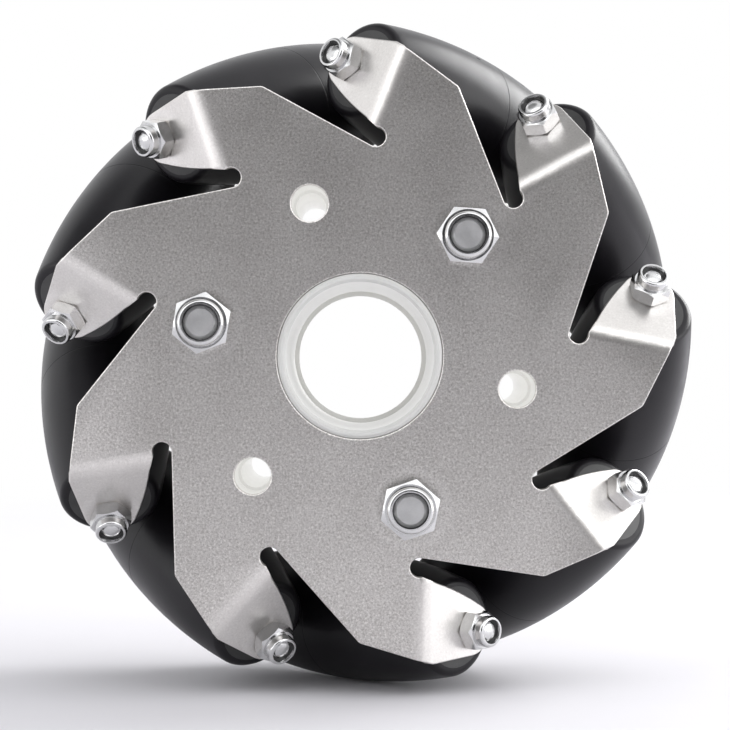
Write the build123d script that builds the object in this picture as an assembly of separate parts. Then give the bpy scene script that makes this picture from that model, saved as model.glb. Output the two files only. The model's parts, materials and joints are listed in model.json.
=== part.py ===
from build123d import *
from math import atan2, cos, degrees, hypot, radians, sin, sqrt, tan
import os

# Mecanum wheel, in millimetres. The wheel's axis is Y, its front plate faces -Y, +Z is up and
# the origin is the wheel's centre. Everything is drawn in a drawing frame with the wheel's axis
# along Z and its front towards +Z, and is turned into place when it is written.

# Wheel and rollers
wheel_diameter = 101.6
roller_count = 9
first_roller_angle = 108.2
roller_tilt = 45.0
roller_clearance = 1.15
roller_overlap_angle = 2.8
tread_end_wall = 1.23
tread_end_round = 1.4
tread_end_round_share = 0.9

# Axle screws, washers and lock nuts
axle_diameter = 3.0
axle_hole_clearance = 0.1
axle_end_below_nut_top = 0.5
axle_head_wall = 1.25
axle_head_height = 3.0
axle_key_width = 2.5
axle_nut_wall = 1.25
axle_nut_height = 4.0
axle_nut_turns = (8.0, 21.0, 2.0, 47.0, 33.0, 12.0, 40.0, 26.0, 16.0)
washer_diameter = 7.0
washer_thickness = 0.5
roller_end_play = 0.15

# Bushes and roller core
running_clearance = 0.06
bush_wall = 0.94
bush_length = 4.0
bush_flange_step = 0.8
bush_flange_thickness = 0.6
core_bore_clearance = 0.35
core_flange_step = 1.2
core_flange_width = 1.6
end_ring_wall = 0.5
end_groove_width = 1.0
end_groove_depth = 0.8

# Side plates, one pressing used on both sides. Radii at a tab are measured from the circle of axles.
plate_thickness = 2.0
plate_clearance = 2.03
bend_outer_radius = 4.0
bend_sections = 5
lobe_corner_beyond_axle = 1.9
lobe_corner_angle = 1.7
lobe_corner_round = 1.2
tab_top_beyond_axle = 4.1
tab_top_flare = 0.7
tab_foot_inside_axle = 8.5
tab_foot_taper = 1.15
tab_nose_radius = 4.0
tab_foot_bulge = 0.28
relief_radius = 1.45
relief_inside_axle = 9.55
relief_past_bend = 0.3

# Hub
spacer_clearance = 2.4
hub_bore_diameter = 22.0
hub_lip_step = 0.75
hub_lip_width = 1.8
hub_boss_wall = 1.2
hub_boss_proud = 0.25
hub_boss_clearance = 0.1
hub_edge_break = 0.4
hub_hole_wall = 1.438
mount_hole_count = 3
mount_hole_clearance = 0.25
mount_hole_depth = 11.9
mount_pilot_diameter = 4.6

# Hub bolts and lock nuts
hub_bolt_diameter = 5.0
hub_bolt_clearance = 0.1
hub_bolt_end_below_nut_top = 0.4
hub_head_wall = 1.75
hub_head_height = 5.0
hub_key_width = 4.0
hub_nut_wall = 1.5
hub_nut_height = 5.0
hub_nut_turns = (21.5, 19.0, -4.0)

# Forms shared by both sizes of screw and lock nut. Shares are of the thread's diameter,
# of the head's height, of the nut's width across flats or, for a height, of the nut's height.
thread_clearance = 0.02
screw_end_chamfer_share = 0.1
head_chamfer_share = 0.1
key_depth_share = 0.5
nut_hex_height_share = 0.6
nut_face_share = 0.95
nut_face_slope = 30.0
nut_collar_share = 0.86
nut_collar_round_share = 0.07
nut_opening_share = 0.67
nut_pocket_share = 0.72
nut_pocket_low_share = 0.66
nut_pocket_high_share = 0.82

wheel_radius = wheel_diameter / 2
roller_pitch = 360.0 / roller_count
half_pitch = radians(roller_pitch / 2)
lean = radians(roller_tilt)


def axle_circle_radius():
    """The radius of the circle of axles, on which the rollers' middles lie.

    Two neighbouring axles come closest at one distance s along from both middles. There, as at a
    roller's ends, a roller fills the depth from its axle up to the wheel's radius. All these lengths
    are in proportion to the circle's radius, so the clearance between the rollers gives it.
    """
    nearness = hypot(cos(lean), sin(lean) * cos(half_pitch))
    apart = sin(half_pitch) * cos(lean) / nearness
    along = apart * tan(lean) * cos(half_pitch) / nearness
    reach = hypot(1, along * sin(lean))
    rise = along * sin(lean) ** 2 / reach
    fill = sqrt(1 - rise ** 2)
    return (roller_clearance / 2 + wheel_radius * fill) / (apart + reach * fill)


roller_circle_radius = axle_circle_radius()
roller_middle_radius = wheel_radius - roller_circle_radius
roller_half = roller_circle_radius * tan(half_pitch + radians(roller_overlap_angle / 2)) / sin(lean)


def barrel_end_radius():
    """The radius of a roller at its ends.

    Seen along the wheel's axis the rollers fill one circle. A point of the axle at distance s from
    its middle is hypot(Rc, s sin tilt) from the wheel's axis. What is left up to the wheel's radius,
    taken square to the axle, is the roller's radius. One arc through such points is the barrel.
    """
    reach = hypot(roller_circle_radius, roller_half * sin(lean))
    rise = roller_half * sin(lean) ** 2 / reach
    depth = wheel_radius - reach
    along = roller_half + depth * rise
    radius = depth * sqrt(1 - rise ** 2)
    sag = roller_middle_radius - radius
    arc_radius = (along ** 2 + sag ** 2) / (2 * sag)
    return roller_middle_radius - arc_radius + sqrt(arc_radius ** 2 - roller_half ** 2)


roller_end_radius = barrel_end_radius()
core_flange_radius = roller_end_radius - tread_end_wall
core_radius = core_flange_radius - core_flange_step

axle_radius = axle_diameter / 2
axle_hole_diameter = axle_diameter + 2 * axle_hole_clearance
bush_bore_radius = axle_radius + running_clearance
bush_radius = bush_bore_radius + bush_wall
bush_flange_radius = bush_radius + bush_flange_step
end_groove_inner_radius = bush_flange_radius + end_ring_wall
end_groove_outer_radius = end_groove_inner_radius + end_groove_width

bush_end = roller_half + bush_flange_thickness
washer_start = bush_end + roller_end_play
tab_inner_face = washer_start + washer_thickness
tab_outer_face = tab_inner_face + plate_thickness
axle_length = 2 * tab_outer_face + axle_nut_height - axle_end_below_nut_top

plate_inner = roller_half * cos(lean) + roller_end_radius * sin(lean) + plate_clearance
plate_half_width = plate_inner + plate_thickness
lobe_corner_radius = roller_circle_radius + lobe_corner_beyond_axle
tab_top_at_bend = roller_circle_radius + tab_top_beyond_axle
tab_top_after_bend = tab_top_at_bend + tab_top_flare
tab_foot_at_bend = roller_circle_radius - tab_foot_inside_axle
tab_foot_after_bend = tab_foot_at_bend + tab_foot_taper
relief_centre_radius = roller_circle_radius - relief_inside_axle

# A tab stands square to its roller's axle, so where the sheet folds follows from the roller's tilt.
fold_tangent = bend_outer_radius * tan(lean / 2)
fold_corner = (tab_outer_face - plate_half_width * cos(lean)) / sin(lean)
bend_start = fold_corner - fold_tangent
tab_start = fold_corner * cos(lean) - plate_half_width * sin(lean) + fold_tangent

spacer_radius = roller_circle_radius - roller_middle_radius - spacer_clearance
hub_boss_radius = hub_bore_diameter / 2 + hub_boss_wall
hub_bolt_hole_diameter = hub_bolt_diameter + 2 * hub_bolt_clearance
mount_hole_diameter = hub_bolt_diameter + 2 * mount_hole_clearance
hub_hole_circle = 2 * (spacer_radius - mount_hole_diameter / 2 - hub_hole_wall)
hub_bolt_length = 2 * plate_half_width + hub_nut_height - hub_bolt_end_below_nut_top

drawing_frame = Plane(origin=(0, 0, 0), x_dir=(1, 0, 0), z_dir=(0, -1, 0)).location


def roller_angle(number):
    return first_roller_angle + number * roller_pitch


def roller_place(number):
    """A roller's middle, with Z along its axle to the front and X away from the wheel's axis."""
    return Rot(0, 0, roller_angle(number)) * Pos(roller_circle_radius, 0, 0) * Rot(-roller_tilt, 0, 0)


def hub_hole_place(angle):
    return Rot(0, 0, angle) * Pos(hub_hole_circle / 2, 0, 0)


def mount_hole_angle(number):
    return first_roller_angle + number * 360.0 / mount_hole_count


def hub_bolt_angle(number):
    return mount_hole_angle(number) + 180.0 / mount_hole_count


def turned(*points):
    """A closed outline of (radius, height) points, turned about Z."""
    return revolve(Plane.XZ * make_face(Polyline(*points, close=True)), Axis.Z)


def disc(diameter, low, high):
    return Pos(0, 0, low) * extrude(Circle(diameter / 2), high - low)


def hexagon(width, low, high):
    return Pos(0, 0, low) * extrude(RegularPolygon(width / 2, 6, major_radius=False), high - low)


# Rollers


def roller_tread():
    flange_start = roller_half - core_flange_width
    barrel = ThreePointArc(
        (roller_end_radius, roller_half),
        (roller_middle_radius, 0),
        (roller_end_radius, -roller_half),
    )
    seat = Polyline(
        (roller_end_radius, -roller_half),
        (core_flange_radius, -roller_half),
        (core_flange_radius, -flange_start),
        (core_radius, -flange_start),
        (core_radius, flange_start),
        (core_flange_radius, flange_start),
        (core_flange_radius, roller_half),
        (roller_end_radius, roller_half),
    )
    profile = make_face([barrel, seat])
    rims = [corner for corner in profile.vertices() if abs(corner.X - roller_end_radius) < 0.001]
    rim_round = min(tread_end_round, tread_end_round_share * tread_end_wall)
    return revolve(Plane.XZ * fillet(rims, rim_round), Axis.Z)


def roller_core():
    bore = axle_radius + core_bore_clearance
    seat_bottom = roller_half - bush_length
    groove_bottom = roller_half - end_groove_depth
    half = turned(
        (bore, 0),
        (core_radius, 0),
        (core_radius, roller_half - core_flange_width),
        (core_flange_radius, roller_half - core_flange_width),
        (core_flange_radius, roller_half),
        (end_groove_outer_radius, roller_half),
        (end_groove_outer_radius, groove_bottom),
        (end_groove_inner_radius, groove_bottom),
        (end_groove_inner_radius, roller_half),
        (bush_radius, roller_half),
        (bush_radius, seat_bottom),
        (bore, seat_bottom),
    )
    return half + mirror(half, Plane.XY)


def roller_bushes():
    bush = turned(
        (bush_bore_radius, roller_half - bush_length),
        (bush_radius, roller_half - bush_length),
        (bush_radius, roller_half),
        (bush_flange_radius, roller_half),
        (bush_flange_radius, bush_end),
        (bush_bore_radius, bush_end),
    )
    return [bush, mirror(bush, Plane.XY)]


# Fasteners


def socket_screw(diameter, length, head_wall, head_height, key_width):
    """A cap screw with its head below Z = 0 and its shank above."""
    end = diameter * screw_end_chamfer_share
    edge = head_height * head_chamfer_share
    head_radius = diameter / 2 + head_wall
    screw = turned(
        (0, -head_height),
        (head_radius - edge, -head_height),
        (head_radius, edge - head_height),
        (head_radius, 0),
        (diameter / 2, 0),
        (diameter / 2, length - end),
        (diameter / 2 - end, length),
        (0, length),
    )
    return screw - hexagon(key_width, -head_height, head_height * (key_depth_share - 1))


def lock_nut(diameter, wall, height):
    """A lock nut on Z = 0: a hexagon, and the round collar that is rolled over its insert."""
    width = diameter + 2 * wall
    hex_top = height * nut_hex_height_share
    corner = width / sqrt(3)
    face = width / 2 * nut_face_share
    slope = (corner - face) * tan(radians(nut_face_slope))
    blank = turned(
        (0, 0),
        (face, 0),
        (corner, slope),
        (corner, hex_top - slope),
        (face, hex_top),
        (0, hex_top),
    )
    collar = disc(width * nut_collar_share, hex_top, height)
    collar = fillet(collar.edges().sort_by(Axis.Z)[-1], width * nut_collar_round_share)
    pocket_low = height * nut_pocket_low_share
    pocket_high = height * nut_pocket_high_share
    nut = (blank & hexagon(width, 0, hex_top)) + collar
    nut -= disc(diameter + 2 * thread_clearance, 0, pocket_low)
    nut -= disc(width * nut_pocket_share, pocket_low, pocket_high)
    return nut - disc(width * nut_opening_share, pocket_high, height)


def nut_insert(diameter, wall, height):
    """The plastic ring held in a lock nut's collar."""
    width = diameter + 2 * wall
    low = height * nut_pocket_low_share
    high = height * nut_pocket_high_share
    ring = disc(width * nut_pocket_share, low, high)
    return ring - disc(diameter + 2 * thread_clearance, low, high)


def washer_pair():
    washer = disc(washer_diameter, washer_start, tab_inner_face)
    washer -= disc(axle_hole_diameter, washer_start, tab_inner_face)
    return [washer, mirror(washer, Plane.XY)]


# Side plates


def touch_point(point, centre, radius, side):
    """Where the straight line from a point touches a circle, on its left (1) or right (-1)."""
    across = centre[0] - point[0]
    up = centre[1] - point[1]
    distance = hypot(across, up)
    turn = atan2(up, across) + side * atan2(radius, sqrt(distance ** 2 - radius ** 2))
    reach = sqrt(distance ** 2 - radius ** 2)
    return (point[0] + reach * cos(turn), point[1] + reach * sin(turn))


def polar(radius, angle):
    return (radius * cos(radians(angle)), radius * sin(radians(angle)))


def plate_outline():
    """The flat of the plate: nine lobes, each ending at the straight line where its tab folds."""
    relief = (relief_centre_radius, bend_start + relief_past_bend)
    next_corner = polar(lobe_corner_radius, lobe_corner_angle + roller_pitch)
    slot_end = touch_point(next_corner, relief, relief_radius, -1)
    lobe = (
        (tab_top_at_bend, bend_start),
        (tab_foot_at_bend, bend_start),
        relief,
        slot_end,
        next_corner,
    )
    points = []
    for number in range(roller_count):
        for x, y in lobe:
            points.append(polar(hypot(x, y), degrees(atan2(y, x)) + number * roller_pitch))
    flat = make_face(Polyline(*points, close=True))
    corners = [v for v in flat.vertices() if abs(hypot(v.X, v.Y) - lobe_corner_radius) < 0.001]
    return fillet(corners, lobe_corner_round)


def bend():
    """The curved strip between the plate and a tab, for the roller at angle 0."""
    sections = []
    for step in range(bend_sections):
        share = step / (bend_sections - 1)
        foot = tab_foot_at_bend + share * (tab_foot_after_bend - tab_foot_at_bend)
        top = tab_top_at_bend + share * (tab_top_after_bend - tab_top_at_bend)
        across = Plane(
            origin=(0, bend_start, plate_half_width - bend_outer_radius),
            x_dir=(1, 0, 0),
            z_dir=(0, -cos(share * lean), sin(share * lean)),
        )
        low = bend_outer_radius - plate_thickness
        corners = ((foot, low), (top, low), (top, bend_outer_radius), (foot, bend_outer_radius))
        sections.append(across * make_face(Polyline(*corners, close=True)))
    return loft(sections)


def tab():
    """The flat of a tab, square to the axle of the roller at angle 0, rounded off about the axle."""
    top = (tab_top_after_bend - roller_circle_radius, tab_start)
    foot = (tab_foot_after_bend - roller_circle_radius, tab_start)
    top_touch = touch_point(top, (0, 0), tab_nose_radius, -1)
    foot_touch = touch_point(foot, (0, 0), tab_nose_radius, 1)
    middle = ((foot[0] + foot_touch[0]) / 2, (foot[1] + foot_touch[1]) / 2)
    outward = atan2(foot_touch[1] - foot[1], foot_touch[0] - foot[0]) + radians(90)
    bulge = (middle[0] + tab_foot_bulge * cos(outward), middle[1] + tab_foot_bulge * sin(outward))
    outline = [
        Line(foot, top),
        Line(top, top_touch),
        ThreePointArc(top_touch, (0, tab_nose_radius), foot_touch),
        ThreePointArc(foot_touch, bulge, foot),
    ]
    on_axle = Pos(roller_circle_radius, 0, 0) * Rot(-roller_tilt, 0, 0)
    return on_axle * Pos(0, 0, tab_inner_face) * extrude(make_face(outline), plate_thickness)


def side_plate():
    """The front plate. The rear plate is the same piece turned over."""
    deep = 2 * plate_half_width
    relief = Pos(relief_centre_radius, bend_start + relief_past_bend, 0) * disc(2 * relief_radius, 0, deep)
    axle_hole = Pos(roller_circle_radius, 0, 0) * Rot(-roller_tilt, 0, 0) * disc(axle_hole_diameter, 0, deep)
    folded = bend() + tab() - relief - axle_hole
    plate = Pos(0, 0, plate_inner) * extrude(plate_outline(), plate_thickness)
    plate -= [Rot(0, 0, number * roller_pitch) * relief for number in range(roller_count)]
    plate += [Rot(0, 0, number * roller_pitch) * folded for number in range(roller_count)]
    plate = Rot(0, 0, first_roller_angle) * plate
    plate -= disc(2 * (hub_boss_radius + hub_boss_clearance), 0, deep)
    mount_hole = disc(mount_hole_diameter, 0, deep)
    bolt_hole = disc(hub_bolt_hole_diameter, 0, deep)
    for number in range(mount_hole_count):
        plate -= hub_hole_place(mount_hole_angle(number)) * mount_hole
        plate -= hub_hole_place(hub_bolt_angle(number)) * bolt_hole
    return plate


# Hub


def hub_spacer():
    end = plate_half_width + hub_boss_proud
    bore = hub_bore_diameter / 2
    lip = bore - hub_lip_step
    boss = hub_boss_radius
    spacer = turned(
        (lip, -end),
        (boss - hub_edge_break, -end),
        (boss, hub_edge_break - end),
        (boss, -plate_inner),
        (spacer_radius, -plate_inner),
        (spacer_radius, plate_inner),
        (boss, plate_inner),
        (boss, end - hub_edge_break),
        (boss - hub_edge_break, end),
        (bore + hub_edge_break, end),
        (bore, end - hub_edge_break),
        (bore, hub_lip_width - end),
        (lip, hub_lip_width - end),
    )
    step = plate_half_width - mount_hole_depth
    pilot = disc(mount_pilot_diameter, -plate_half_width, plate_half_width)
    mount_hole = pilot + disc(mount_hole_diameter, step, plate_half_width)
    bolt_hole = disc(hub_bolt_hole_diameter, -plate_half_width, plate_half_width)
    for number in range(mount_hole_count):
        spacer -= hub_hole_place(mount_hole_angle(number)) * mount_hole
        spacer -= hub_hole_place(hub_bolt_angle(number)) * bolt_hole
    return spacer


# Assembly


def roller_nodes():
    tread = roller_tread()
    core = roller_core()
    bushes = roller_bushes()
    screw = socket_screw(axle_diameter, axle_length, axle_head_wall, axle_head_height, axle_key_width)
    screw = Pos(0, 0, -tab_outer_face) * screw
    nodes = {}
    for number in range(roller_count):
        place = roller_place(number)
        nodes[f"roller_tread_{number + 1}"] = place * tread
        nodes[f"roller_core_{number + 1}"] = place * core
        nodes[f"roller_bushes_{number + 1}"] = [place * bush for bush in bushes]
        nodes[f"axle_screw_{number + 1}"] = place * screw
    return nodes


def axle_fastener_nodes():
    nut = lock_nut(axle_diameter, axle_nut_wall, axle_nut_height)
    insert = nut_insert(axle_diameter, axle_nut_wall, axle_nut_height)
    nuts = []
    inserts = []
    washers = []
    for number in range(roller_count):
        nut_turn = axle_nut_turns[number % len(axle_nut_turns)]
        seat = roller_place(number) * Pos(0, 0, tab_outer_face) * Rot(0, 0, nut_turn)
        nuts.append(seat * nut)
        inserts.append(seat * insert)
        washers += [roller_place(number) * washer for washer in washer_pair()]
    return {
        "axle_nuts": nuts,
        "axle_nut_inserts": inserts,
        "axle_washers": washers,
    }


def hub_fastener_nodes():
    bolt = socket_screw(hub_bolt_diameter, hub_bolt_length, hub_head_wall, hub_head_height, hub_key_width)
    nut = lock_nut(hub_bolt_diameter, hub_nut_wall, hub_nut_height)
    insert = nut_insert(hub_bolt_diameter, hub_nut_wall, hub_nut_height)
    bolts = []
    nuts = []
    inserts = []
    for number in range(mount_hole_count):
        place = hub_hole_place(hub_bolt_angle(number))
        turn = hub_nut_turns[number % len(hub_nut_turns)] - hub_bolt_angle(number)
        bolts.append(place * Pos(0, 0, -plate_half_width) * bolt)
        nuts.append(place * Pos(0, 0, plate_half_width) * Rot(0, 0, turn) * nut)
        inserts.append(place * Pos(0, 0, plate_half_width) * insert)
    return {
        "hub_bolts": bolts,
        "hub_nuts": nuts,
        "hub_nut_inserts": inserts,
    }


def plate_nodes():
    front = side_plate()
    turn_over = Axis((0, 0, 0), (cos(radians(first_roller_angle)), sin(radians(first_roller_angle)), 0))
    return {"front_plate": front, "rear_plate": front.rotate(turn_over, 180)}


nodes = plate_nodes()
nodes["hub_spacer"] = hub_spacer()
nodes.update(roller_nodes())
nodes.update(axle_fastener_nodes())
nodes.update(hub_fastener_nodes())

os.makedirs("parts", exist_ok=True)
for name, pieces in nodes.items():
    solids = [drawing_frame * piece for piece in (pieces if isinstance(pieces, list) else [pieces])]
    export_step(Compound(solids) if len(solids) > 1 else solids[0], f"parts/{name}.step")
print(len(nodes), "nodes written, roller end radius", round(roller_end_radius, 3))
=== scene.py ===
# %% [markdown]
# # A mecanum wheel, dressed for the camera
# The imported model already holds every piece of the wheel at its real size: two folded steel plates,
# a nylon hub, nine rollers on slanted axle screws, and the nuts and bolts between them. This lesson
# gives each piece the surface that the real one has. It loads the model first, because the places
# of the rollers, the screws and the plates are all taken from it.

# %% Load the wheel
import json
from math import acos, asin, atan2, cos, degrees, hypot, pi, radians, sin, sqrt

import bmesh
import bpy
from mathutils import Matrix, Vector


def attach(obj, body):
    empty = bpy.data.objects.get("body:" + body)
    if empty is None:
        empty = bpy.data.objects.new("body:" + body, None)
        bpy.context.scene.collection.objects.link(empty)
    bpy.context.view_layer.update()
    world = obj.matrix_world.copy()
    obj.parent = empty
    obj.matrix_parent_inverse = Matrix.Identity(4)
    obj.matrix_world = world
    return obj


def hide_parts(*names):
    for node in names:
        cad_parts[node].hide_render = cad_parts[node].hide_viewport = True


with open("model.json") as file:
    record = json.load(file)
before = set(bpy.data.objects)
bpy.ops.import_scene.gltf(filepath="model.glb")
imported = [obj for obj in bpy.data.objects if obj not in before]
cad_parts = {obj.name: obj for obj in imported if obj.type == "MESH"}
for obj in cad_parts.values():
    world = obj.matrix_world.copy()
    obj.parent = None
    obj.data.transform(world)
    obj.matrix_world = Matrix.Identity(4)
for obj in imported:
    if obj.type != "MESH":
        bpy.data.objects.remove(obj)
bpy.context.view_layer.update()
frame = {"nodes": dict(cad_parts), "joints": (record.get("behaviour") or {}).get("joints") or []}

MM = 0.001
WHEEL_RADIUS = 50.8 * MM
roller_joints = [joint for joint in frame["joints"] if joint["type"] == "hinge"]
print("wheel loaded:", len(frame["nodes"]), "nodes,", len(roller_joints), "rollers")

# %% [markdown]
# ## Measures
# A roller turns about its joint, so the joint says where the roller's middle is and which way its
# axle points. From the first joint come the three numbers that place all nine: the radius of the
# circle of axles, the angle of the first, and the lean of the axles against the wheel's axis.

# %% Where the rollers are
first_place = roller_joints[0]["pos_m"]
axle_circle = hypot(first_place[0], first_place[2])
first_angle = atan2(first_place[2], first_place[0])
pitch = 2 * pi / len(roller_joints)
lean = acos(-Vector(roller_joints[0]["axis"]).normalized().y)
print("axle circle", round(axle_circle / MM, 2), "mm")
print("first roller at", round(degrees(first_angle), 1), "degrees, lean", round(degrees(lean), 3))


def roller_matrix(number):
    """Places a piece drawn with Z along its axle, and X pointing away from the wheel's axis."""
    joint = roller_joints[number]
    along = Vector(joint["axis"]).normalized()
    away = Vector(joint["pos_m"]).normalized()
    across = along.cross(away)
    turn = Matrix((away, across, along)).transposed().to_4x4()
    return Matrix.Translation(Vector(joint["pos_m"])) @ turn


# %% [markdown]
# ## Shader maths written as Python
# A finish is a small sum over the surface: a bit of noise, a ring round a nut, a band along an
# edge. Wiring Math nodes by hand hides the sum. So one class wraps a socket, and plus, minus and
# times on it add the Math node. Another class holds a material, and one method of it adds any node.
# In the sums below, the number beside a layer says how strongly that layer shows.

# %% A socket that can be used in a sum
class Term:
    """A node's output, used like a number."""

    def __init__(self, finish, socket):
        self.finish = finish
        self.socket = socket

    def maths(self, operation, *others):
        node = self.finish.node("Math", {"operation": operation}, dict(enumerate((self, *others))))
        return node.term("Value")

    def __add__(self, other):
        return self.maths("ADD", other)

    def __sub__(self, other):
        return self.maths("SUBTRACT", other)

    def __mul__(self, other):
        return self.maths("MULTIPLY", other)

    def __rsub__(self, other):
        return (self * -1) + other

    __radd__ = __add__
    __rmul__ = __mul__

    def step(self, low, high):
        """0 beyond low, 1 beyond high, and a soft rise between them. High may be the smaller."""
        node = self.finish.node(
            "MapRange",
            {"interpolation_type": "SMOOTHSTEP"},
            {"Value": self, "From Min": low, "From Max": high},
        )
        return node.term("Result")

    def band(self, centre, width):
        """1 at centre, falling softly to 0 at a distance of width."""
        return 1 - (self - centre).maths("ABSOLUTE").step(0, width)


def length(first, second):
    """The length of a line that goes first one way and second at right angles to it."""
    return (first * first + second * second).maths("SQRT")


print("sums on sockets ready")

# %% A material under construction
# The Mix node has one set of sockets for each kind of value. These are the numbers of its colours.
MIX_FIRST = 6
MIX_SECOND = 7
MIX_RESULT = 2
# Noise is as much below 0 as above it, so a mix of two colours starts halfway between them.
HALFWAY = 0.5
PIT_BLACK = 0.006


class Made:
    """A node that has been added, with its outputs as terms."""

    def __init__(self, finish, node):
        self.finish = finish
        self.node = node

    def term(self, name):
        return Term(self.finish, self.node.outputs[name])


class Finish:
    """A material, or a world, whose nodes are all added by one method."""

    def __init__(self, name, kind="materials"):
        self.owner = getattr(bpy.data, kind).new(name)
        self.owner.use_nodes = True
        self.tree = self.owner.node_tree
        self.tree.nodes.clear()

    def node(self, kind, settings=None, values=None):
        made = self.tree.nodes.new("ShaderNode" + kind)
        for key, setting in (settings or {}).items():
            setattr(made, key, setting)
        for key, value in (values or {}).items():
            if isinstance(value, Term):
                self.tree.links.new(value.socket, made.inputs[key])
            else:
                made.inputs[key].default_value = value
        return Made(self, made)

    def place(self):
        """The point on the surface, in metres, as one vector."""
        return self.node("TexCoord").term("Object")

    def parts(self, vector):
        """The x, y and z of a vector."""
        split = self.node("SeparateXYZ", {}, {"Vector": vector})
        return split.term("X"), split.term("Y"), split.term("Z")

    def noise(self, where, size, detail=2.0, rough=0.5):
        """Cloudy noise whose lumps are about size across, as much below 0 as above it."""
        values = {"Vector": where, "Scale": 1 / size, "Detail": detail, "Roughness": rough}
        return self.node("TexNoise", {}, values).term("Fac") - 0.5

    def mix(self, factor, first, second):
        """A colour between two colours."""
        values = {"Factor": factor, MIX_FIRST: first, MIX_SECOND: second}
        return self.node("Mix", {"data_type": "RGBA"}, values).term(MIX_RESULT)

    def blend(self, factor, first, second):
        """A shader between two shaders, which is all second where the factor is 1."""
        return self.node("MixShader", {}, {0: factor, 1: first, 2: second}).term("Shader")

    def bump(self, height, distance, strength=1.0, normal=None):
        values = {"Height": height, "Distance": distance, "Strength": strength}
        if normal is not None:
            values["Normal"] = normal
        return self.node("Bump", {}, values).term("Normal")

    def surface(self, values, pits=None):
        """The material with its main shader. Where pits is 1, it is dull and black."""
        shader = self.node("BsdfPrincipled", {}, values).term("BSDF")
        if pits is not None:
            dull = self.node("BsdfDiffuse", {}, {"Color": grey(PIT_BLACK)}).term("BSDF")
            shader = self.blend(pits, shader, dull)
        return self.finished("OutputMaterial", shader)

    def finished(self, output, shader):
        """Joins the last shader to the output, and gives the material or the world back."""
        self.node(output, {}, {"Surface": shader})
        print("finish made:", self.owner.name)
        return self.owner


def grey(level):
    return (level, level, level, 1)


print("materials can be built")

# %% [markdown]
# ## Zinc-plated sheet
# Barrel-plated sheet steel is a soft grey metal. Close up it is covered in grains a third of a
# millimetre across that catch the light one by one, over clouds where the plating is thicker. The
# grain fades along the fold of each tab, where bending has stretched the sheet smooth, and the fold
# is also painted lighter: a painted highlight along each bend. Turning nuts have rubbed pale rings
# into the plating. Rings and folds follow each axle: the angle round the wheel is folded into one
# ninth of a turn, which turns nine tabs into one sum.

# %% Distances from the axles and from the hub bolts
HUB_CIRCLE = 47.625 / 2 * MM
HUB_BOLTS = 3
# The remainder of a negative angle would be negative, so whole turns are added before it is taken.
WHOLE_TURNS = 4 * pi


def offsets(x, z, turn, circle):
    """How far outwards, and how far round, a point lies from the point at turn 0 of a circle."""
    radius = length(x, z)
    return radius * turn.maths("COSINE") - circle, radius * turn.maths("SINE")


def distance_from_axle(x, y, z, side):
    """How far a point is from the axle line of its tab, and how far along that line it lies.

    The side is 1 for the front plate and -1 for the rear plate.
    """
    turn = ((z.maths("ARCTAN2", x) - first_angle) * side + WHOLE_TURNS).maths("MODULO", pitch)
    away, round_wheel = offsets(x, z, turn, axle_circle)
    across = (round_wheel + y * side) * cos(lean)
    along = (round_wheel - y * side) * sin(lean)
    return length(away, across), along


def distance_from_hub_bolts(x, z, shift=0.0):
    """How far a point is from the nearest hub bolt, found the same way.

    A shift of 0.5 measures from the open holes, which lie halfway between the bolts.
    """
    share = 2 * pi / HUB_BOLTS
    turn = z.maths("ARCTAN2", x) - first_angle + (WHOLE_TURNS + share * shift)
    away, round_wheel = offsets(x, z, turn.maths("MODULO", share) - share / 2, HUB_CIRCLE)
    return length(away, round_wheel)


print("distances ready for", len(roller_joints), "axles and", HUB_BOLTS, "hub bolts")

# %% The plate finish
GRAIN = 0.36 * MM
FINE_GRAIN = 0.16 * MM
PLATING_CLOUD = 9 * MM
SPECK_EDGE = (0.02, 0.24)
PIT_EDGE = (-0.02, -0.22)
TAB_EDGE = (24.0 * MM, 25.2 * MM)
LOBE_EDGE = (31 * MM, 35 * MM)
FOLD_ALONG = 25.7 * MM
FOLD_WIDTH = 2.2 * MM
FOLD_COVER = 0.75
NUT_RING = 4.0 * MM
NUT_RING_WIDTH = 1.6 * MM
HUB_NUT_RING = 5.6 * MM
HUB_NUT_RING_WIDTH = 1.1 * MM
RUBBED_LINE = 0.55 * MM
PLATE_BUMP = 0.025 * MM
PLATE_SHADE = 0.48
PLATE_ROUGHNESS = 0.325
PLATING_DARK = (0.47, 0.446, 0.424, 1)
PLATING_LIGHT = (0.88, 0.858, 0.832, 1)


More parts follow.
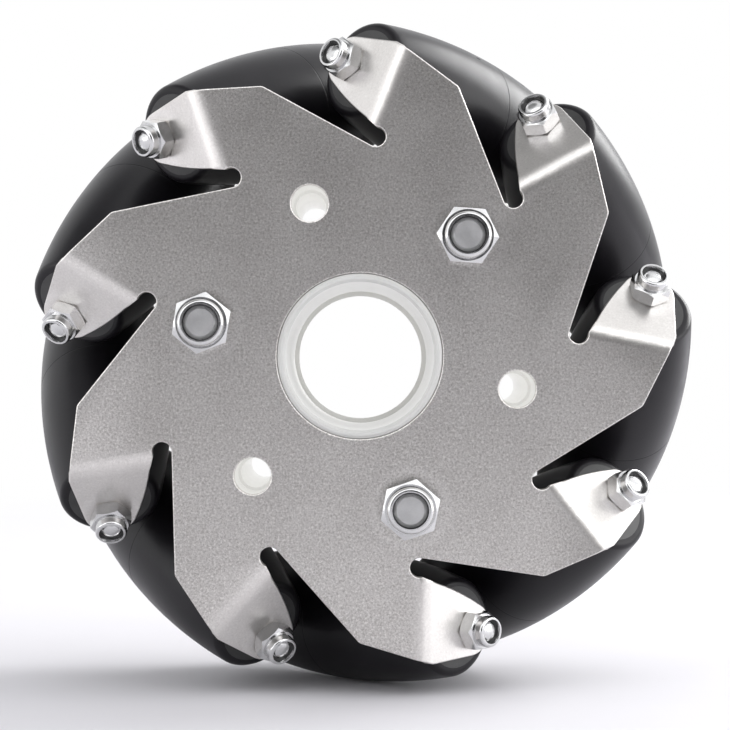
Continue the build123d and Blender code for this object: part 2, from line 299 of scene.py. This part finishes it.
def plate_finish(name, side):
    finish = Finish(name)
    where = finish.place()
    x, y, z = finish.parts(where)
    clouds = finish.noise(where, PLATING_CLOUD, detail=4.0)
    axle_distance, along = distance_from_axle(x, y, z, side)
    fold = along.band(FOLD_ALONG, FOLD_WIDTH) * length(x, z).step(*LOBE_EDGE)
    visible = 1 - fold * FOLD_COVER
    grain = finish.noise(where, GRAIN, detail=3.0, rough=0.6)
    fine = finish.noise(where, FINE_GRAIN, detail=1.0) * visible
    speck = grain.step(*SPECK_EDGE) * visible
    pit = grain.step(*PIT_EDGE) * visible
    tab_ring = along.step(*TAB_EDGE) * axle_distance.band(NUT_RING, NUT_RING_WIDTH)
    hub_ring = distance_from_hub_bolts(x, z).band(HUB_NUT_RING, HUB_NUT_RING_WIDTH)
    rub = tab_ring * 0.55 + hub_ring * 0.5
    lines = (axle_distance * (2 * pi / RUBBED_LINE)).maths("SINE") * 0.5 + 0.5
    grains = fine * 1.3 + speck * 0.85 - pit * 0.6
    # fold * 0.2 paints the fold lighter, a painted highlight along each bend; the faded grain there
    # is the smoothed plating.
    shade = grains + clouds * 0.3 + rub * 0.3 + fold * 0.2 + PLATE_SHADE
    height = grain * visible + fine * 0.8 + lines * rub * 0.25
    return finish.surface({
        "Base Color": finish.mix(shade, PLATING_DARK, PLATING_LIGHT),
        "Metallic": 1.0,
        "Roughness": clouds * 0.05 - speck * 0.03 - rub * 0.02 + PLATE_ROUGHNESS,
        "Normal": finish.bump(height, PLATE_BUMP, strength=0.5),
    })


front_zinc = plate_finish("front plate zinc", 1)
rear_zinc = plate_finish("rear plate zinc", -1)

# %% [markdown]
# ## Bright zinc on the fasteners
# Nuts and screws are plated the same way but are rolled and machined, so they are far smoother. Only
# faint tool lines and small clouds break the reflection.

# %% The fastener finish
FASTENER_CLOUD = 1.6 * MM
TOOL_LINE = 0.18 * MM
FASTENER_BUMP = 0.012 * MM
DARKEST = 0.78
LIGHTEST = 1.2


def fastener_finish(name, level, roughness):
    finish = Finish(name)
    where = finish.place()
    clouds = finish.noise(where, FASTENER_CLOUD, detail=4.0)
    lines = finish.noise(where, TOOL_LINE)
    shade = clouds * 0.7 + lines * 0.35 + HALFWAY
    return finish.surface({
        "Base Color": finish.mix(shade, grey(level * DARKEST), grey(level * LIGHTEST)),
        "Metallic": 1.0,
        "Roughness": clouds * 0.2 + lines * 0.1 + roughness,
        "Normal": finish.bump(lines, FASTENER_BUMP, strength=0.3),
    })


nut_zinc = fastener_finish("nut zinc", 0.68, 0.18)
bolt_zinc = fastener_finish("bolt zinc", 0.6, 0.42)
screw_zinc = fastener_finish("screw zinc", 0.72, 0.2)

# %% [markdown]
# ## Rubber
# The rollers are moulded in black rubber with a satin skin, which turns grey where it is seen along
# the surface. Fine noise in the colour and the bump keeps it from looking like paint. Every roller
# has a hairline seam round it and two small nicks from the mould. Each tread's mesh carries two
# numbers for them: how far a point is along the axle, and how far it is turned away from the nicks.
# A black mirror can't be darkened by its colour, because its shine stays. So seam and nicks change
# over to a dull shader.

# %% The rubber finish
DUST = 6 * MM
RUBBER_SKIN = 0.35 * MM
RUBBER_BUMP = 0.012 * MM
RUBBER_SHADE = 0.45
RUBBER_ROUGHNESS = 0.33
RUBBER_DARK = (0.006, 0.0055, 0.007, 1)
RUBBER_LIGHT = (0.015, 0.0135, 0.0165, 1)
SEAM_ALONG = -0.8 * MM
SEAM_WIDTH = 0.13 * MM
SEAM_STRENGTH = 0.45
NICKS_ALONG = (4.0 * MM, -7.5 * MM)
NICK_HALF_LENGTH = 0.75 * MM
NICK_HALF_TURN = radians(2.2)
NICK_EDGE = (0.1, 0.4)
MARK_DEPTH = 0.05 * MM


def rubber_finish():
    finish = Finish("black rubber")
    where = finish.place()
    dust = finish.noise(where, DUST, detail=5.0, rough=0.6)
    skin = finish.noise(where, RUBBER_SKIN, detail=3.0)
    along = finish.node("Attribute", {"attribute_name": "along"}).term("Fac")
    turned = finish.node("Attribute", {"attribute_name": "turned"}).term("Fac")
    near, far = (along.band(place, NICK_HALF_LENGTH) for place in NICKS_ALONG)
    nicks = ((near + far) * turned.band(0, NICK_HALF_TURN)).step(*NICK_EDGE)
    mark = nicks.maths("MAXIMUM", along.band(SEAM_ALONG, SEAM_WIDTH) * SEAM_STRENGTH)
    shade = (dust * 1.2 + skin * 0.6 + RUBBER_SHADE) * (1 - mark)
    skin_bump = finish.bump(skin, RUBBER_BUMP, strength=0.3)
    return finish.surface({
        "Base Color": finish.mix(shade, RUBBER_DARK, RUBBER_LIGHT),
        "Roughness": dust * 0.2 + RUBBER_ROUGHNESS + mark * 0.5,
        "Specular IOR Level": 0.28,
        "Normal": finish.bump(1 - mark, MARK_DEPTH, normal=skin_bump),
    }, pits=mark)


rubber = rubber_finish()

# %% [markdown]
# ## Dark plastics
# The roller cores, the rings in the lock nuts and the bushes at the rollers' ends show only as dark
# satin pieces deep between the others. They share one finish: slow clouds in the colour, and a skin
# many times finer in the bump.

# %% The dark plastics
SKIN_SHARE = 1 / 14
PLASTIC_BUMP = 0.02 * MM


def plastic_finish(name, dark, light, roughness, cloud):
    finish = Finish(name)
    where = finish.place()
    clouds = finish.noise(where, cloud, detail=4.0)
    skin = finish.noise(where, cloud * SKIN_SHARE)
    return finish.surface({
        "Base Color": finish.mix(clouds * 1.4 + skin * 0.4 + HALFWAY, grey(dark), grey(light)),
        "Roughness": skin * 0.2 + roughness,
        "Normal": finish.bump(skin, PLASTIC_BUMP, strength=0.25),
    })


core_nylon = plastic_finish("grey nylon", 0.028, 0.055, 0.42, 3 * MM)
insert_nylon = plastic_finish("insert nylon", 0.016, 0.035, 0.4, 1 * MM)
bush_plastic = plastic_finish("bush plastic", 0.02, 0.05, 0.35, 1 * MM)

# %% [markdown]
# ## Milky nylon
# The hub is a thick block of white nylon, and light soaks through it. That shows most inside its
# narrow holes, which stay bright where the holes of a solid material would be black. A path tracer
# needs thousands of samples for that, so the light is painted in: a faint glow of the block's own
# colour, and a stronger one on the walls of the bore and of the holes.

# %% The hub's finish
HUB_CLOUD = 6 * MM
HUB_SKIN = 0.4 * MM
HUB_ROUGHNESS = 0.4
BORE_WALL = 11.4 * MM
HOLE_WALL = 2.75 * MM
WALL_FADE = 0.1 * MM
HUB_FACE = 25.0 * MM
FACE_FADE = 0.6 * MM
BLOCK_GLOW = 0.07
BORE_GLOW = 0.12
HOLE_GLOW = 0.24
NYLON_DARK = (0.50, 0.50, 0.485, 1)
NYLON_LIGHT = (0.60, 0.60, 0.585, 1)
GLOW_COLOUR = (1, 0.99, 0.97, 1)


def hub_nylon_finish():
    finish = Finish("white nylon")
    where = finish.place()
    x, y, z = finish.parts(where)
    clouds = finish.noise(where, HUB_CLOUD, detail=4.0)
    skin = finish.noise(where, HUB_SKIN)
    in_bore = 1 - length(x, z).step(BORE_WALL, BORE_WALL + WALL_FADE)
    in_hole = 1 - distance_from_hub_bolts(x, z, 0.5).step(HOLE_WALL, HOLE_WALL + WALL_FADE)
    inside = (y * -1).step(HUB_FACE, HUB_FACE - FACE_FADE)
    glow = (in_bore * BORE_GLOW + in_hole * HOLE_GLOW) * inside + BLOCK_GLOW
    return finish.surface({
        "Base Color": finish.mix(clouds * 1.2 + skin * 0.3 + HALFWAY, NYLON_DARK, NYLON_LIGHT),
        "Roughness": skin * 0.2 + HUB_ROUGHNESS,
        "Normal": finish.bump(skin, PLASTIC_BUMP, strength=0.25),
        "Emission Color": finish.mix(glow, grey(0), GLOW_COLOUR),
        "Emission Strength": 1.0,
    })


white_nylon = hub_nylon_finish()

# %% [markdown]
# ## Each piece gets its finish
# The model's nodes are named for what they are, and the numbered ones differ only in their number.
# So one table, from the name without its number to the finish, dresses them all.

# %% Put the finishes on the wheel's nodes
finish_of = {
    "front_plate": front_zinc,
    "rear_plate": rear_zinc,
    "hub_spacer": white_nylon,
    "axle_nuts": nut_zinc,
    "hub_nuts": nut_zinc,
    "axle_nut_inserts": insert_nylon,
    "hub_nut_inserts": insert_nylon,
    "axle_washers": nut_zinc,
    "hub_bolts": bolt_zinc,
    "axle_screw": screw_zinc,
    "roller_tread": rubber,
    "roller_core": core_nylon,
    "roller_bushes": bush_plastic,
}


def kind_of(name):
    """A numbered node's kind is its name without the number."""
    return name.rstrip("0123456789").rstrip("_")


for name, node in frame["nodes"].items():
    node.data.materials.clear()
    node.data.materials.append(finish_of[kind_of(name)])
print("finishes on", len(frame["nodes"]), "nodes")

# %% [markdown]
# ## Cut edges
# A press shears the sheet, and tumbling in the plating barrel rounds the cut edge over by a tenth or
# two of a millimetre. That tiny round is what catches the light as a thin bright line. The model's
# edges are sharp, so each plate is copied, its loose triangles are merged, and a bevel runs along
# every edge that turns by more than fifty degrees. The bevel isn't clamped, because the short edges
# of the folds would hold it back to nothing.

# %% From a bmesh to an object
def into_scene(name, data):
    made = bpy.data.objects.new(name, data)
    bpy.context.scene.collection.objects.link(made)
    return made


def to_object(mesh, name, material):
    """Turns a bmesh into an object with one material, and lets go of the bmesh."""
    data = bpy.data.meshes.new(name)
    mesh.to_mesh(data)
    mesh.free()
    data.materials.append(material)
    return into_scene(name, data)


def shade_smooth(mesh, crease):
    """Smooths every face, and keeps the edges sharp that turn by more than the crease."""
    for face in mesh.faces:
        face.smooth = True
    for edge in mesh.edges:
        edge.smooth = len(edge.link_faces) == 2 and edge.calc_face_angle() < crease


print("a bmesh can be put in the scene")

# %% Round over the plates' cut edges
EDGE_ROUND = 0.16 * MM
EDGE_TURN = radians(50)
FLAT_TURN = radians(0.5)
PLATE_CREASE = radians(20)
PLATE_MERGE = 0.0005 * MM


def with_rounded_edges(node_name, piece_name):
    mesh = bmesh.new()
    mesh.from_mesh(frame["nodes"][node_name].data)
    bmesh.ops.remove_doubles(mesh, verts=mesh.verts, dist=PLATE_MERGE)
    bmesh.ops.dissolve_limit(mesh, angle_limit=FLAT_TURN, verts=mesh.verts, edges=mesh.edges)
    shared = [edge for edge in mesh.edges if len(edge.link_faces) == 2]
    cut = [edge for edge in shared if edge.calc_face_angle() > EDGE_TURN]
    bmesh.ops.bevel(
        mesh, geom=cut, offset=EDGE_ROUND, offset_type="OFFSET", affect="EDGES", segments=2,
        profile=0.5, material=-1, clamp_overlap=False,
    )
    shade_smooth(mesh, PLATE_CREASE)
    piece = to_object(mesh, piece_name, finish_of[node_name])
    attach(piece, "wheel_frame")
    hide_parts(node_name)
    print(piece_name, "has", len(cut), "cut edges and", len(piece.data.polygons), "faces")


with_rounded_edges("front_plate", "front_side_plate")
with_rounded_edges("rear_plate", "rear_side_plate")

# %% [markdown]
# ## Roller treads
# The rubber barrels make the outline of the wheel, so they need a finer mesh than the model's. A
# barrel is a turned shape: one line of edges, drawn beside the axle, and spun once round it.

# %% A shell spun round its axle
SPIN_STEPS = 96
SPIN_CREASE = radians(32)
SPIN_MERGE = 0.0001 * MM


def spun_shell(line, closed=True):
    """Spins a line of (radius, height) points once round Z. A closed line also joins its ends."""
    mesh = bmesh.new()
    corners = [mesh.verts.new((radius, 0, height)) for radius, height in line]
    edges = [mesh.edges.new(pair) for pair in zip(corners, corners[1:])]
    if closed:
        edges.append(mesh.edges.new((corners[-1], corners[0])))
    bmesh.ops.spin(
        mesh, geom=corners + edges, cent=(0, 0, 0), axis=(0, 0, 1), dvec=(0, 0, 0),
        angle=2 * pi, steps=SPIN_STEPS, use_merge=True, use_duplicate=False,
    )
    bmesh.ops.remove_doubles(mesh, verts=mesh.verts, dist=SPIN_MERGE)
    bmesh.ops.recalc_face_normals(mesh, faces=mesh.faces)
    shade_smooth(mesh, SPIN_CREASE)
    return mesh


def on_axle(mesh, number, name, material, body):
    """Moves a spun shell from the Z axis to an axle of the wheel, as a piece that rides a body."""
    bmesh.ops.transform(mesh, matrix=roller_matrix(number), verts=mesh.verts)
    piece = to_object(mesh, name, material)
    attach(piece, body)
    return piece


print("shells are spun in", SPIN_STEPS, "steps")

# %% The tread's line
ROLLER_HALF = 22.5016 * MM
END_RADIUS = 7.4335 * MM
FLANGE_RADIUS = 6.2035 * MM
CORE_RADIUS = 5.0035 * MM
FLANGE_WIDTH = 1.6 * MM
RIM_ROUND = 1.107 * MM
RIM_STEPS = 8
BARREL_STEPS = 40
middle_radius = WHEEL_RADIUS - axle_circle


def mirrored(line):
    """The same line for the roller's other end, in the order that carries on from the first."""
    return [(radius, -height) for radius, height in reversed(line)]


def barrel_line():
    """The tread's outside from one end to the other, as (radius, height) pairs.

    The barrel is one arc about a point on the far side of the axle. The rim's small arc touches it
    from inside and touches the flat end.
    """
    sag = middle_radius - END_RADIUS
    arc = (ROLLER_HALF ** 2 + sag ** 2) / (2 * sag)
    arc_centre = middle_radius - arc
    rim_height = ROLLER_HALF - RIM_ROUND
    rim_radius = arc_centre + sqrt((arc - RIM_ROUND) ** 2 - rim_height ** 2)
    touch = atan2(rim_height, rim_radius - arc_centre)
    end = [(FLANGE_RADIUS, -ROLLER_HALF)]
    for step in range(RIM_STEPS + 1):
        turn = pi / 2 + (touch - pi / 2) * step / RIM_STEPS
        end.append((rim_radius + RIM_ROUND * cos(turn), -rim_height - RIM_ROUND * sin(turn)))
    barrel = []
    for step in range(1, BARREL_STEPS):
        turn = touch * (2 * step / BARREL_STEPS - 1)
        barrel.append((arc_centre + arc * cos(turn), arc * sin(turn)))
    return end + barrel + mirrored(end)


seat = [(FLANGE_RADIUS, ROLLER_HALF - FLANGE_WIDTH), (CORE_RADIUS, ROLLER_HALF - FLANGE_WIDTH)]
tread_line = barrel_line() + seat + mirrored(seat)
print("tread line of", len(tread_line), "points,", round(middle_radius / MM, 2), "mm at its middle")

# %% [markdown]
# The seam and the nicks need to know where they are on a roller, so the two numbers that the rubber
# reads are written onto the shell while it still stands on the Z axis. From one roller to the next
# the nicks are turned by a set angle, so that no two rollers look the same.

# %% Spin nine treads
LAST_MARK_TURN = radians(-22)
MARK_STEP = radians(77)


def write_mark_places(mesh, mark_turn):
    along = mesh.verts.layers.float.new("along")
    turned = mesh.verts.layers.float.new("turned")
    for vert in mesh.verts:
        vert[along] = vert.co.z
        vert[turned] = acos(cos(atan2(vert.co.y, vert.co.x) - mark_turn))


for number in range(len(roller_joints)):
    shell = spun_shell(tread_line)
    write_mark_places(shell, LAST_MARK_TURN + (number - len(roller_joints) + 1) * MARK_STEP)
    tread = on_axle(shell, number, f"rubber_tread_{number + 1}", rubber, f"roller_{number + 1}")
    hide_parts(f"roller_tread_{number + 1}")
print("treads spun:", len(roller_joints), "with", len(tread.data.polygons), "faces each")

# %% [markdown]
# ## Screw tips
# Where the rolled thread of an axle screw stops, its end rises in a low dome, which shows as a bright
# dot in the nut. Each dome is a short arc spun round the axle. It is seated on the flat end of the
# model's screw, and that end is found from the screw's own points.

# %% Dome the nine screw tips
TIP_RADIUS = 1.2 * MM
TIP_HEIGHT = 0.3 * MM
TIP_SEAT = 0.02 * MM
TIP_STEPS = 8


def tip_line(end):
    """A low dome on a flat end, from the axle out and back to it, as (radius, height) pairs."""
    bend = (TIP_RADIUS ** 2 + TIP_HEIGHT ** 2) / (2 * TIP_HEIGHT)
    sweep = asin(TIP_RADIUS / bend)
    arc = []
    for step in range(TIP_STEPS + 1):
        turn = sweep * step / TIP_STEPS
        arc.append((bend * sin(turn), end + TIP_HEIGHT - bend * (1 - cos(turn))))
    return arc + [(TIP_RADIUS, end - TIP_SEAT), (0, end - TIP_SEAT)]


for number, joint in enumerate(roller_joints):
    axle = Vector(joint["axis"]).normalized()
    screw = frame["nodes"][f"axle_screw_{number + 1}"].data
    end = max(axle.dot(vert.co - Vector(joint["pos_m"])) for vert in screw.vertices)
    shell = spun_shell(tip_line(end), closed=False)
    tip = on_axle(shell, number, f"screw_tip_{number + 1}", screw_zinc, "wheel_frame")
print("screw tips domed, the last end lies", round(end / MM, 2), "mm from the roller's middle")

# %% [markdown]
# ## Floor
# The wheel stands on a wide flat sheet of pale paper. Near the wheel the paper is shaded by it, as
# in a photograph, and further off it burns out to white, so that the camera sees no horizon. The
# white is for the camera's eye only: what the wheel mirrors is still the paper.

# %% The floor
FLOOR_HALF = 3.0
FLOOR_BACK = 0.6
FLOOR_GAP = 0.05 * MM
PAPER_CLOUD = 30 * MM
PAPER_DARK = (0.70, 0.69, 0.72, 1)
PAPER_LIGHT = (0.73, 0.72, 0.75, 1)
PAPER_ROUGHNESS = 0.7
WHITE_EDGE = (0.1, 0.6)


def floor_finish():
    finish = Finish("floor paper")
    where = finish.place()
    x, y = finish.parts(where)[:2]
    clouds = finish.noise(where, PAPER_CLOUD, detail=3.0)
    values = {
        "Base Color": finish.mix(clouds + HALFWAY, PAPER_DARK, PAPER_LIGHT),
        "Roughness": PAPER_ROUGHNESS,
    }
    paper = finish.node("BsdfPrincipled", {}, values).term("BSDF")
    white = finish.node("Emission", {}, {"Color": grey(1), "Strength": 1.0}).term("Emission")
    far = length(x, y).step(*WHITE_EDGE)
    seen = finish.node("LightPath").term("Is Camera Ray")
    return finish.finished("OutputMaterial", finish.blend(far * seen, paper, white))


sheet = bmesh.new()
bmesh.ops.create_grid(sheet, x_segments=1, y_segments=1, size=FLOOR_HALF)
bmesh.ops.translate(sheet, verts=sheet.verts, vec=(0, FLOOR_BACK, -WHEEL_RADIUS - FLOOR_GAP))
floor = to_object(sheet, "floor", floor_finish())
print("floor laid", round((WHEEL_RADIUS + FLOOR_GAP) / MM, 2), "mm below the wheel's axis")

# %% [markdown]
# ## Light
# A metal shows what stands round it. The flat of the plate mirrors the dim side of the room where the
# camera is, and the bends and tabs mirror the bright walls of the tent. So the world is bright all
# round, with a darker patch in front that gives way to the pale floor lower down. A gap in the
# tent's roof, left of the top, is what darkens the tab on the upper right. Three soft lamps give the
# light a direction.

# %% The tent
FRONT_DIM = 0.02
FRONT_LOW = 0.68
FRONT_LEFT = 0.12
FRONT_EDGE = (0.76, 0.88)
RING_EDGE = (0.35, 0.65)
BACK_EDGE = (0.1, -0.6)
LOW_EDGE = (0.0, -0.3)
LEFT_EDGE = (0.08, -0.3)
GAP_LEAN = radians(28)
GAP_EDGE = (0.87, 0.96)
GAP_DIM = 0.75
RING = 2.1
SIDES = 1.22
BACK = 1.0
CLOTH_FOLD = 0.7
TENT_COLOUR = (0.98, 0.985, 1.0, 1)


def tent_world():
    """A bright room all round, and plain white where the camera looks past the wheel."""
    tent = Finish("tent", "worlds")
    towards = tent.node("TexCoord").term("Generated")
    sideways, backwards, upwards = tent.parts(towards)
    forwards = backwards * -1
    folds = tent.noise(towards, CLOTH_FOLD, detail=1.0) * 0.9 + 1
    bright = SIDES + forwards.step(*RING_EDGE) * (RING - SIDES)
    bright = bright - forwards.step(*BACK_EDGE) * (SIDES - BACK)
    gap = (upwards * cos(GAP_LEAN) - sideways * sin(GAP_LEAN)).step(*GAP_EDGE)
    wall = folds * bright * (1 - gap * GAP_DIM)
    low = upwards.step(*LOW_EDGE)
    left = sideways.step(*LEFT_EDGE)
    patch = low * FRONT_LOW + left * FRONT_LEFT + FRONT_DIM
    level = wall - forwards.step(*FRONT_EDGE) * (wall - patch)
    walls = tent.node("Background", {}, {"Color": TENT_COLOUR, "Strength": level})
    white = tent.node("Background", {}, {"Color": grey(1), "Strength": 1.0})
    seen = tent.node("LightPath").term("Is Camera Ray")
    both = tent.blend(seen, walls.term("Background"), white.term("Background"))
    return tent.finished("OutputWorld", both)


bpy.context.scene.world = tent_world()

# %% The lamps
def lamp(name, where, size, power):
    """A square soft lamp that looks at the wheel's middle."""
    data = bpy.data.lights.new(name, "AREA")
    data.shape = "SQUARE"
    data.size = size
    data.energy = power
    made = into_scene(name, data)
    made.location = where
    made.rotation_mode = "QUATERNION"
    made.rotation_quaternion = (-Vector(where)).to_track_quat("-Z", "Y")


lamp("left lamp", where=(-0.65, -0.25, -0.1), size=0.35, power=0.9)
lamp("right lamp", where=(0.62, -0.1, 0.1), size=0.3, power=0.6)
lamp("top lamp", where=(0.48, 0.31, 0.33), size=0.38, power=3.4)
print("lamps hung:", len(bpy.data.lights))

# %% [markdown]
# ## Camera
# The camera looks straight along the wheel's axis from nearly eight wheel radii away. Its focal
# length was fitted in pixels of the photograph, and the lens follows from it and from the sensor.

# %% The camera
PHOTO_SIDE = 730
FOCAL_PIXELS = 2440
SENSOR_MM = 36
CAMERA_DISTANCE = 386 * MM
CAMERA_RIGHT = 0.76 * MM
CAMERA_UP = -1.33 * MM
camera_data = bpy.data.cameras.new("camera")
camera_data.sensor_width = SENSOR_MM
camera_data.lens = FOCAL_PIXELS * SENSOR_MM / PHOTO_SIDE
camera_data.clip_start = 0.01
camera_data.clip_end = 20
camera = into_scene("camera", camera_data)
camera.location = (CAMERA_RIGHT, -CAMERA_DISTANCE, CAMERA_UP)
camera.rotation_euler = (pi / 2, 0, 0)
bpy.context.scene.camera = camera
bpy.context.scene.view_settings.view_transform = "Standard"
print("camera lens", round(camera_data.lens, 1), "mm")
